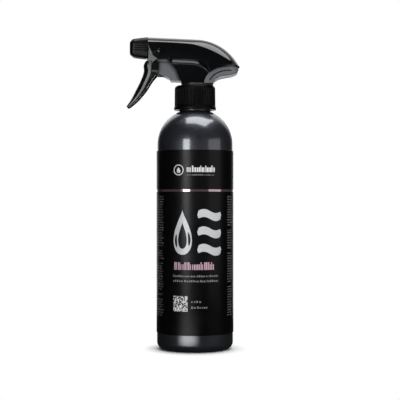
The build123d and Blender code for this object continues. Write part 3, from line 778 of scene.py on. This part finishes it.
def build_closure():
    """The ribbed screw closure with its hem and its thread."""
    low, high = CLOSURE_LOW.z, CLOSURE_HIGH.z
    hem = CLOSURE_HIGH.x
    top_skirt = SKIRT - 0.15
    rib_low, rib_high = low + HEM_TOP + 0.5, high - ROOF_ROUNDING - 0.2
    outside = [
        (BORE, low), (hem - 0.35, low), (hem - 0.1, low + 0.1), (hem, low + 0.35),
        (hem, low + HEM_TOP - 0.9), (hem - 0.12, low + HEM_TOP - 0.55),
        (SKIRT + 0.06, low + HEM_TOP),
    ]
    outside += [(SKIRT, rib_low), (SKIRT, rib_low + 0.7)]
    outside += [
        (SKIRT + (top_skirt - SKIRT) * i / 4, rib_low + 0.7 + (rib_high - rib_low - 1.4) * i / 4)
        for i in range(1, 5)
    ]
    outside += [(top_skirt, rib_high)]
    outside += arc((top_skirt - ROOF_ROUNDING, high - ROOF_ROUNDING), ROOF_ROUNDING, 0, 90, 8)
    inside = [
        (HOLE + 0.3, high), (HOLE, high - 0.3), (HOLE, high - ROOF),
        (BORE - 0.3, high - ROOF), (BORE, high - ROOF - 0.3), (BORE, low + 0.3),
    ]

    def groove(radius, z, angle):
        if radius < top_skirt - 0.5 or not rib_low < z < rib_high:
            return 0
        off = ((angle * RIBS / (2 * pi)) % 1.0 - 0.5) / GROOVE_HALF
        return -GROOVE_DEPTH * sqrt(1 - off**2) if abs(off) < 1 else 0

    cap = turned(
        "closure_cap", outside + inside, full_circle(RIBS * 12), joined=True, radius_change=groove
    )
    thread = ridge("closure_thread", BORE + 0.2, 12.95, THREAD_START_Z - 1.65, 1.25, 1.1, 0.5)
    join(cap, [thread])
    rounded_edges(cap, 0.08, 50, 1)
    black = plastic("closure_black", rgb(3, 3, 3), rgb(5, 5, 5), 0.4, 0.004, specular=0.15)
    place(cap, "closure", "closure", black, "closure")


# ---- Shroud ----

TOP_SLOPE = tan(radians(2.5))
BACK_RADIUS = 41.0
BACK_CENTER_Z = 216.2
EAR_CENTER = (-26.19, 251.53)
EAR_RADIUS = 12.35
EAR_END_X = -30.6
LEDGE_FRONT = (-22.7, 240.3)
LEDGE_BACK = (12.9, 229.6)
NECK_INSET = 3.0
COVE_DROP = 4.1
PLAN_CORNER = 10.0
SHROUD_WALL = 1.35
CROWN_POWER = 2.3
ARCH_RADIUS = 4.8
PIN_HOLE = 2.72

TAIL_TIP = (SHROUD_HIGH.x, BACK_CENTER_Z + sqrt(BACK_RADIUS**2 - SHROUD_HIGH.x**2))
HALF_WIDTH = SHROUD_HIGH.y
NECK_FRONT_X, NECK_BACK_X = -11.25, 7.1
tail_low = height_line([LEDGE_BACK, (18.75, 232.3), (24.7, 233.5), (30.5, 233.9), TAIL_TIP])
ledge_line = height_line([
    LEDGE_FRONT, (-13.0, 239.6), (-4.0, 239.2), (3.0, 238.3), (8.0, 235.6), (10.9, 232.7),
    LEDGE_BACK,
])
neck_front = height_line([
    LEDGE_FRONT, (-19.6, 236.0), (-16.8, 233.1), (-14.75, 229.4), (NECK_FRONT_X, 220.5)
])
neck_back = height_line([(NECK_BACK_X, 220.5), (8.8, 225.2), LEDGE_BACK])
crease_height = height_line([
    (SHROUD_LOW.x, 253.7), (-25.0, 253.3), (-12.5, 252.6), (-4.0, 251.9), (0.0, 251.2),
    (8.3, 248.7), (16.7, 245.1), (25.0, 240.5), (34.5, 234.9), TAIL_TIP,
])


def top_height(x):
    """The shroud's top line: a gentle slope, then the round back."""
    corner = BACK_RADIUS * sin(radians(2.5))
    if x > corner:
        return BACK_CENTER_Z + sqrt(BACK_RADIUS**2 - min(x, SHROUD_HIGH.x) ** 2)
    return BACK_CENTER_Z + BACK_RADIUS * cos(radians(2.5)) + (corner - x) * TOP_SLOPE


def wall_low(x):
    """The lower edge of the wide part."""
    if x < EAR_END_X:
        return EAR_CENTER[1] - sqrt(max(EAR_RADIUS**2 - (x - EAR_CENTER[0]) ** 2, 0))
    if x < LEDGE_FRONT[0]:
        share = (x - EAR_END_X) / (LEDGE_FRONT[0] - EAR_END_X)
        return 240.0 + (LEDGE_FRONT[1] - 240.0) * share
    return ledge_line(x) if x < LEDGE_BACK[0] else tail_low(x)


def neck_low(x):
    """The lower edge of the neck, or of the wide part where there is no neck."""
    if not LEDGE_FRONT[0] < x < LEDGE_BACK[0]:
        return wall_low(x)
    if x < NECK_FRONT_X:
        return neck_front(x)
    return SHROUD_LOW.z if x < NECK_BACK_X else neck_back(x)


def half_width(x):
    """Half the shroud's width, with the tail rounded in plan."""
    off = x - (SHROUD_HIGH.x - PLAN_CORNER)
    if off < 0:
        return HALF_WIDTH
    return HALF_WIDTH - PLAN_CORNER + sqrt(max(PLAN_CORNER**2 - off**2, 0))


def shroud_section(x):
    """Half of the shroud's outer section at X, as (half width, Z) from the top middle downward."""
    width, top, crease, low, neck = (
        half_width(x), top_height(x), min(crease_height(x), top_height(x)), wall_low(x), neck_low(x)
    )
    crease = max(crease, low)
    points = []
    for i in range(9):
        share = sin(pi / 2 * i / 8)
        points.append((width * share, crease + (top - crease) * (1 - share**CROWN_POWER)))
    for i in range(1, 9):
        share = i / 8
        bulge = 0.3 * (1 - (2 * share - 1) ** 2)
        points.append((width - 0.3 * min(1, share * 3) + bulge, crease + (low - crease) * share))
    depth = low - neck
    fade = min(1, max(0, (LEDGE_BACK[0] - x) / 1.4))
    inset = NECK_INSET * fade * fade * (3 - 2 * fade) if depth > 0 else 0
    drop = min(COVE_DROP, 0.85 * depth)
    edge = points[-1][0]
    for i in range(1, 8):
        share = i / 7
        hollow = 0.35 * sin(pi * share)
        points.append((edge - inset * min(1, share + hollow / 3), low - drop * share))
    for i in range(1, 6):
        points.append((edge - inset, low - drop + (neck - low + drop) * i / 5))
    return points


def shroud_stations():
    """X values along the shroud, closer together where its edges turn quickly."""
    ear = [EAR_CENTER[0] - EAR_RADIUS * sin(radians(a)) for a in range(85, 21, -5)]
    ear[0] = SHROUD_LOW.x
    middle = list(np.linspace(EAR_END_X, LEDGE_FRONT[0], 5))
    middle += list(np.linspace(LEDGE_FRONT[0], NECK_FRONT_X, 14))[1:]
    middle += list(np.linspace(NECK_FRONT_X, NECK_BACK_X, 16))[1:]
    middle += list(np.linspace(NECK_BACK_X, LEDGE_BACK[0], 10))[1:]
    start = SHROUD_HIGH.x - PLAN_CORNER
    tail = list(np.linspace(LEDGE_BACK[0], start, 12))[1:]
    tail += [start + PLAN_CORNER * sin(radians(a)) for a in range(8, 91, 6)]
    tail[-1] = SHROUD_HIGH.x
    return sorted(set(ear + middle + tail))


def build_shroud():
    """The shroud's shell with its front wall and the two holes for the trunnions."""
    rows = []
    for x in shroud_stations():
        half = shroud_section(x)
        rows.append(
            [(x, w, z) for w, z in reversed(half)] + [(x, -w, z) for w, z in half[1:]]
        )
    # Front wall from the section's rim in to the arch over the barrel
    reach = 17
    middle = len(rows[0]) // 2
    rim = rows[0][middle - reach + 1:middle + reach]
    arch = []
    for i in range(len(rim)):
        a = radians(8 + 164 * i / (len(rim) - 1))
        arch.append((SHROUD_LOW.x, ARCH_RADIUS * cos(a), NOZZLE_AXIS_Z + ARCH_RADIUS * sin(a)))
    front = [
        [tuple(np.array(p) * (1 - t) + np.array(q) * t) for p, q in zip(rim, arch)]
        for t in (0, 0.3, 0.65, 1)
    ]
    vertices = [p for row in rows + front for p in row]
    faces = grid_faces(len(rows), len(rows[0]), False, False)
    faces += grid_faces(len(front), len(rim), False, False, first=len(rows) * len(rows[0]))
    shroud = new_object("shroud_shell", vertices, faces)
    modifier(shroud, "SOLIDIFY", thickness=SHROUD_WALL * MM, offset=-1.0)
    apply_modifiers(shroud)
    center = (PIVOT_X, PIVOT_Z)
    holes = [pin("hole", center, PIN_HOLE, side * 9.0, side * 16.0, 0.1) for side in (-1, 1)]
    combine(shroud, holes, "DIFFERENCE")
    rounded_edges(shroud, 0.28, 32)
    gloss = plastic("shroud_gloss", rgb(4, 5, 6), rgb(7, 8, 9), 0.16, 0.0012, coat=0.3)
    place(shroud, "sprayer", "shroud", gloss, "shroud")


# ---- Trigger ----

ARM_INNER = 9.7
ARM_OUTER = 11.9
ARM_REAR_X = -26.5
ARM_TOP_Z = 230
TRUNNION_RADIUS = 2.6
TRUNNION_END = 13.8
PULL = radians(joint("trigger_pull")["range_deg"][1])
BAND_LEAN = 0.11
DECK_CLEAR = 9.5

# Where the side band starts and ends, as shares of the depth, at six heights
BAND_Z = (201, 207, 215, 223, 231, 236)
BAND = ((0.52, 0.5, 0.52, 0.44, 0.34, 0.28), (0.78, 0.78, 0.75, 0.67, 0.52, 0.52))


def trigger_half_width(z):
    """Half the lever's width, which grows from the tip to the arms."""
    return float(np.interp(z, [199.0, 208.0, 230.0], [8.0, 9.2, 11.2]))


def trigger_section(front, back, width, band):
    """A channel section between two (X, Z) points: crowned pad, side band, web and hollow."""
    depth = sqrt((back[0] - front[0]) ** 2 + (back[1] - front[1]) ** 2)
    start, end = band[0] * depth, band[1] * depth
    step = min(1.2, 0.16 * depth) if back[1] < ARM_TOP_Z else 0.8
    room = max(0.5, width - step - DECK_CLEAR) if back[1] > ARM_TOP_Z else 1.3
    wall = min(1.3, 0.25 * depth, room)
    skin_depth = min(2.3, 0.4 * depth)
    web = width - step
    lean = BAND_LEAN * (end - start)
    half = [
        (0, 0), (0.35 * width, 0.03 * start), (0.6 * width, 0.12 * start),
        (0.8 * width, 0.32 * start), (0.9 * width, 0.55 * start),
        (0.96 * width - lean, 0.8 * start), (width - 0.08 - lean, 0.97 * start),
        (width - lean, start + 0.1), (width - 0.5 * lean, 0.5 * (start + end)), (width, end),
        (width - 0.3 * step, end + 0.15), (width - 0.85 * step, end + 0.35 * step + 0.15),
        (web, end + 0.5 * step + 0.2), (web, 0.97 * depth),
        (web - 0.2 * wall, depth), (web - 0.8 * wall, depth),
        (web - wall, 0.96 * depth), (web - wall, 0.6 * (skin_depth + depth)),
        (web - wall, skin_depth + 0.12 * depth), (web - 1.6 * wall, skin_depth), (0, skin_depth),
    ]
    loop = half + [(-w, min(d, depth)) for w, d in reversed(half[1:-1])]
    way = ((back[0] - front[0]) / depth, (back[1] - front[1]) / depth)
    return [(front[0] + way[0] * d, w, front[1] + way[1] * d) for w, d in loop]


def arm_plate(side):
    """One of the two arms that hang the lever, leaning in towards its front."""
    pivot = (PIVOT_X, PIVOT_Z)
    outline = arc(pivot, 5.6, -60, 90, 14) + arc(pivot, 8.0, 140, 193, 8)
    outline += [(p[0], p[1]) for p in smooth_curve([
        (-38.8, 241.0), (-39.2, 237.5), (-39.6, 233.0), (-39.4, 229.0), (-38.2, 227.2),
        (-37.2, 229.2), (-36.5, 233.6), (-34.9, 236.8), (-32.2, 239.6),
    ], 3)]
    arm = plate("arm", outline, side * ARM_INNER, side * ARM_OUTER)
    for vertex in arm.data.vertices:
        x, y = vertex.co.x / MM, vertex.co.y / MM
        if abs(y) > ARM_INNER + 1:
            vertex.co.y -= (1 if y > 0 else -1) * BAND_LEAN * (ARM_REAR_X - x) * MM
    modifier(
        arm, "BEVEL", width=0.45 * MM, segments=3, limit_method="ANGLE", angle_limit=radians(50)
    )
    apply_modifiers(arm)
    return arm


def push_rib():
    """The rib that pushes the piston; its face leans half the pull forward at rest."""
    low, high, front = 230.5, 236.5, -41.6
    face = [(PIVOT_X - (PIVOT_Z - z) * tan(PULL / 2), z) for z in (low, high)]
    return plate("rib", [(front, low), *face, (front, high)], -2.5, 2.5)


def build_trigger():
    """The lever with its arms, trunnions and push rib."""
    # Front X, front Z, back X, back Z from the tip up
    stations = smooth_curve([
        (-57.0, 201.0, -56.2, 200.4), (-56.3, 202.4, -54.2, 200.9), (-52.8, 207.7, -47.3, 206.7),
        (-49.3, 214.6, -40.8, 214.4), (-45.5, 222.2, -35.6, 222.6), (-42.8, 229.6, -31.0, 228.4),
        (-42.9, 235.0, -29.9, 233.4), (-41.4, 238.2, -30.2, 237.0), (-40.2, 239.1, -31.5, 238.2),
    ], 6)
    rows = []
    for i, (front_x, front_z, back_x, back_z) in enumerate(stations):
        width = trigger_half_width(front_z) * min(1, 0.72 + 0.28 * sqrt(min(i, 6) / 6))
        band = [np.interp(front_z, BAND_Z, side) for side in BAND]
        rows.append(trigger_section((front_x, front_z), (back_x, back_z), width, band))
    lever = skin("trigger_lever", rows, capped=True)
    arms = [arm_plate(side) for side in (-1, 1)]
    trunnions = [
        pin("trunnion", (PIVOT_X, PIVOT_Z), TRUNNION_RADIUS, side * (ARM_OUTER - 1.5),
            side * TRUNNION_END, 0.3)
        for side in (-1, 1)
    ]
    combine(lever, arms + trunnions + [push_rib()], "UNION")
    rounded_edges(lever, 0.18, 40)
    black = plastic("trigger_black", rgb(7, 8, 9), rgb(11, 12, 13), 0.2, 0.002, coat=0.4)
    place(lever, "trigger", "trigger", black, "trigger")


# ---- Nozzle cap ----

BORE_END_X = -47.3
BORE_RADIUS = 4.67
RIDGE_PITCH = 1.8
RIDGE_HEIGHT = 0.16
RIDGED_HALF = 3.6


def rounded_square(half, corner, count=288):
    """A rounded square as (Y, Z) offsets, starting on +Y."""
    inner = half - corner
    points = []
    for i in range(count):
        a = 2 * pi * (i + 0.5) / count
        c, s = cos(a), sin(a)
        reach = half / max(abs(c), abs(s))
        y, z = c * reach, s * reach
        if abs(y) > inner and abs(z) > inner:
            cy, cz = inner * (1 if y > 0 else -1), inner * (1 if z > 0 else -1)
            dot = c * cy + s * cz
            reach = dot + sqrt(max(dot * dot - cy * cy - cz * cz + corner * corner, 0))
            y, z = c * reach, s * reach
        points.append((y, z))
    return points


def build_nozzle():
    """The square cap, ridged on its four sides, with its bore and the sleeve round it."""
    rear, front = NOZZLE_HIGH.x, NOZZLE_LOW.x
    half = NOZZLE_HIGH.y
    outer = [(rear, half - 0.55, 4.7), (rear - 0.15, half - 0.15, 4.9), (rear - 0.5, half, 5.0)]
    outer += [
        (rear - 0.5 - 11.9 * t, half - 1.45 * t, 5.0 - 0.8 * t) for t in np.linspace(0.04, 1, 14)
    ]
    outer += [
        (front + 2.3, 7.25, 4.2), (front + 1.9, 6.95, 4.1), (front + 0.5, 5.75, 3.7),
        (front + 0.15, 5.45, 3.6), (front, 5.05, 3.5),
    ]
    rows = []
    for x, size, corner in outer:
        ridged = rear - 10.8 < x < rear - 2.2
        widen = 1 + 0.85 * (half / size - 1) if size > 7.3 else 1 + 0.85 * (half / 7.45 - 1)
        row = []
        for y, z in rounded_square(size, corner):
            side = min(abs(y), abs(z))
            wave = 0.5 - 0.5 * cos(2 * pi * side / RIDGE_PITCH)
            lift = RIDGE_HEIGHT * wave if ridged and side < RIDGED_HALF else 0
            scale = 1 + lift / max(abs(y), abs(z))
            row.append((x, y * scale * widen, NOZZLE_AXIS_Z + z * scale))
        rows.append(row)
    rounds = [
        (front, 4.1), (front + 0.12, 3.85), (front + 0.5, 3.7), (front + 0.5, 2.62),
        (front + 3.0, 2.6), (front + 3.0, 1.0), (BORE_END_X, 1.0), (BORE_END_X, BORE_RADIUS),
        (rear - 0.3, BORE_RADIUS), (rear, 4.95), (rear, 5.8), (rear - 0.3, 6.1), (-47.4, 6.1),
    ]
    for x, r in rounds:
        row = []
        for y, z in rounded_square(1, 0.5):
            length = sqrt(y * y + z * z)
            row.append((x, r * y / length, NOZZLE_AXIS_Z + r * z / length))
        rows.append(row)
    for x, size in ((-47.4, 6.4), (rear, 7.3)):
        rows.append([(x, y, NOZZLE_AXIS_Z + z) for y, z in rounded_square(size, 3.2)])
    nozzle = skin("nozzle_cap_shell", rows, joined=True)
    rounded_edges(nozzle, 0.12, 40)
    black = plastic("nozzle_black", rgb(3, 4, 4), rgb(6, 6, 7), 0.36, 0.003, specular=0.35)
    place(nozzle, "nozzle", "nozzle", black, "nozzle_cap")


# ---- Springs ----

def build_spring(name, low, high, turns, wire, node):
    """A coil along X, sized from its CAD node's box."""
    radius = (high.y - low.y) / 2 - wire
    middle_z = (low.z + high.z) / 2
    start, end = low.x + wire, high.x - wire
    steps = int(36 * turns)
    path = [
        (start + (end - start) * i / steps, radius * cos(2 * pi * turns * i / steps),
         middle_z + radius * sin(2 * pi * turns * i / steps))
        for i in range(steps + 1)
    ]
    coil = tube(name, path, wire)
    place(coil, "sprayer", "spring", steel("drawn_wire", 0.24, 900), node)
    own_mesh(coil)


def build_springs():
    """The piston's and the outlet valve's springs."""
    for name, node, joint_name, turns, wire, low, high in (
        ("return_spring_coil", "return_spring", "piston_slide", 6.5, 0.4, SPRING_LOW, SPRING_HIGH),
        ("outlet_spring_coil", "outlet_spring", "outlet_valve_lift", 5.0, 0.2,
         VALVE_SPRING_LOW, VALVE_SPRING_HIGH),
    ):
        build_spring(name, low, high, turns, wire, node)


# ---- CAD nodes that stay: materials and softened edges ----

def finish_cad():
    """Gives the CAD nodes that are not replaced their materials and softened edges."""
    natural = plastic(
        "natural_plastic", rgb(205, 205, 202), rgb(192, 193, 190), 0.42, 0.004, wear=0
    )
    piston = plastic("piston_plastic", rgb(212, 212, 208), rgb(200, 200, 197), 0.38, 0.003, wear=0)
    # The pump body's grey carries painted shade in its grooves and under the shroud.
    grey = plastic("pump_grey", rgb(78, 80, 84), rgb(90, 92, 96), 0.4, 0.006, shade_recesses=True)
    rubber = plastic("white_elastomer", rgb(222, 221, 216), rgb(208, 207, 203), 0.6, 0.008, wear=0)
    black = plastic("insert_black", rgb(14, 14, 15), rgb(19, 19, 20), 0.3, 0.003)
    finishes = {
        "pump_body": grey, "tube_retainer": natural, "dip_tube": natural,
        "intake_strainer": natural, "neck_gasket": rubber, "nozzle_seal": rubber,
        "piston_seal": rubber, "piston": piston, "outlet_valve": piston, "swirl_core": piston,
        "orifice_insert": black, "inlet_ball": steel("polished_ball", 0.08, 500),
    }
    for node, material in finishes.items():
        obj = frame["nodes"][node]
        dress(obj, material)
        modifier(obj, "WELD", merge_threshold=0.002 * MM)
        if node != "inlet_ball":
            rounded_edges(obj, 0.22 if node == "pump_body" else 0.08, 40)


# ---- Floor, light and camera ----

FLOOR_FADE = (0.03, 0.043)
PATCH_CENTER = (-0.038, -0.122, 0)
PATCH_FADE = (0.03, 0.065)
PATCH_LIGHT = 3.2


def build_floor():
    """A pale round floor that runs out into the white backdrop."""
    rings = [r * 10.0 for r in range(27)]
    rows = [[(r * cos(a), r * sin(a), 0.0) for a in full_circle(96)] for r in rings]
    floor = skin("floor", rows)
    s = Shader("pale_floor")
    speck = s.noise(240, detail=4)
    pale, shade = (0.86, 0.86, 0.86, 1), (0.84, 0.84, 0.845, 1)
    s.set("Base Color", s.blend(s.range(speck, 0, 1), pale, shade))
    s.set("Roughness", 0.7)
    s.set("Specular IOR Level", 0.2)
    # The camera sees the floor fade into the backdrop; reflections see a dark floor with a
    # light patch
    rim = s.range(s.distance((0, 0, 0)), 0.0, 1.0, *FLOOR_FADE)
    patch = s.range(s.distance(PATCH_CENTER), PATCH_LIGHT, 0.015, *PATCH_FADE)
    path = s.add("LightPath")
    white = s.add("Emission", Color=(1, 1, 1, 1), Strength=1.0)
    seen = s.mix_shader(rim, s.surface.outputs[0], white.outputs[0])
    reflected = s.add("Emission", Color=(1, 1, 1, 1))
    s.links.new(patch, reflected.inputs["Strength"])
    shader = s.mix_shader(path.outputs["Is Camera Ray"], reflected.outputs[0], seen)
    s.links.new(shader, s.nodes["Material Output"].inputs["Surface"])
    dress(floor, s.material)


def build_world():
    """White for the camera; for reflections dark in front and lighter behind and below."""
    world = bpy.data.worlds.new("studio")
    scene.world = world
    world.use_nodes = True
    nodes, links = world.node_tree.nodes, world.node_tree.links
    nodes.clear()
    out = nodes.new("ShaderNodeOutputWorld")
    direction = nodes.new("ShaderNodeTexCoord").outputs["Generated"]
    axes = nodes.new("ShaderNodeSeparateXYZ")
    links.new(direction, axes.inputs[0])

    def ramp(value, start, end, low, high):
        node = nodes.new("ShaderNodeMapRange")
        node.interpolation_type = "SMOOTHSTEP"
        links.new(value, node.inputs["Value"])
        return set_range(node, start, end, low, high)

    def math(operation, one, two):
        node = nodes.new("ShaderNodeMath")
        node.operation = operation
        for socket, value in zip(node.inputs, (one, two)):
            feed(links, socket, value)
        return node.outputs[0]

    # Towards the sky behind the object, straight behind it, and below in front of it
    x, y, z = (axes.outputs[axis] for axis in "XYZ")
    aside = math("ABSOLUTE", x, 0.0)
    height = math("ADD", ramp(z, 0.2, 0.45, 0.0, 1.0), ramp(z, 0.6, 0.9, 0.0, -0.8))
    behind = math("MULTIPLY", height, ramp(y, -0.15, 0.15, 0.0, 1.0))
    sky = math("MULTIPLY", behind, ramp(aside, 0.3, 0.7, 1.0, 0.0))
    rim = ramp(y, 0.92, 0.985, 0.0, 2.1)
    below = math("MULTIPLY", ramp(z, -0.3, -0.12, 1.1, 0.0), ramp(y, -0.5, -0.2, 1.0, 0.0))
    brightest = math("MAXIMUM", math("MAXIMUM", sky, rim), below)
    total = math("ADD", brightest, 0.012)
    lit = nodes.new("ShaderNodeBackground")
    lit.inputs["Color"].default_value = (1, 1, 1, 1)
    links.new(total, lit.inputs["Strength"])
    white = nodes.new("ShaderNodeBackground")
    white.inputs["Color"].default_value = (1, 1, 1, 1)
    white.inputs["Strength"].default_value = 1.0
    path = nodes.new("ShaderNodeLightPath")
    mix = nodes.new("ShaderNodeMixShader")
    links.new(path.outputs["Is Camera Ray"], mix.inputs[0])
    links.new(lit.outputs[0], mix.inputs[1])
    links.new(white.outputs[0], mix.inputs[2])
    links.new(mix.outputs[0], out.inputs[0])


# Name, azimuth and elevation in degrees, distance, width, height, power, height aimed at,
# seen in reflections; azimuth 0 is on the camera's side and grows to the camera's left
LAMPS = (
    ("key_strip", 25, 3, 0.8, 0.27, 0.36, 1.3, 0.15, True),
    ("right_fill", -61, 3, 0.8, 0.6, 0.36, 0.38, 0.15, True),
    ("overhead", -80, 83, 0.8, 0.64, 0.72, 5.0, 0.13, True),
    ("front_fill", -28, 12, 1.2, 0.8, 0.8, 13.0, 0.13, False),
    ("back_left", 152, 10, 0.9, 0.2, 0.7, 0.22, 0.15, True),
    ("back_right", -150, 10, 0.9, 0.2, 0.7, 0.12, 0.15, True),
)


def build_lights():
    """Softboxes; the front fill lights prints and grey plastic without a reflection."""
    for name, azimuth, elevation, distance, width, height, power, target_z, mirrored in LAMPS:
        a, e = radians(azimuth), radians(elevation)
        spot = Vector((
            -distance * cos(e) * sin(a), -distance * cos(e) * cos(a), target_z + distance * sin(e)
        ))
        lamp = bpy.data.lights.new(name, "AREA")
        lamp.shape = "RECTANGLE"
        lamp.size, lamp.size_y = width, height
        lamp.energy = power
        obj = bpy.data.objects.new(name, lamp)
        obj.location = spot
        obj.rotation_euler = (Vector((0, 0, target_z)) - spot).to_track_quat("-Z", "Y").to_euler()
        obj.visible_camera = False
        obj.visible_glossy = mirrored
        scene.collection.objects.link(obj)


def build_camera():
    """The photo's angle: level, from the front of the label."""
    camera = bpy.data.cameras.new("camera")
    camera.sensor_width = 36.0
    camera.lens = 97.2
    camera.clip_start = 0.01
    obj = bpy.data.objects.new("camera", camera)
    obj.location = (4.17 * MM, -0.9, 123.7 * MM)
    obj.rotation_euler = (pi / 2, 0, 0)
    scene.collection.objects.link(obj)
    scene.camera = obj
    scene.view_settings.view_transform = "Standard"


build_bottle()
build_label()
build_print()
build_closure()
build_shroud()
build_trigger()
build_nozzle()
build_springs()
finish_cad()
build_floor()
build_world()
build_lights()
build_camera()
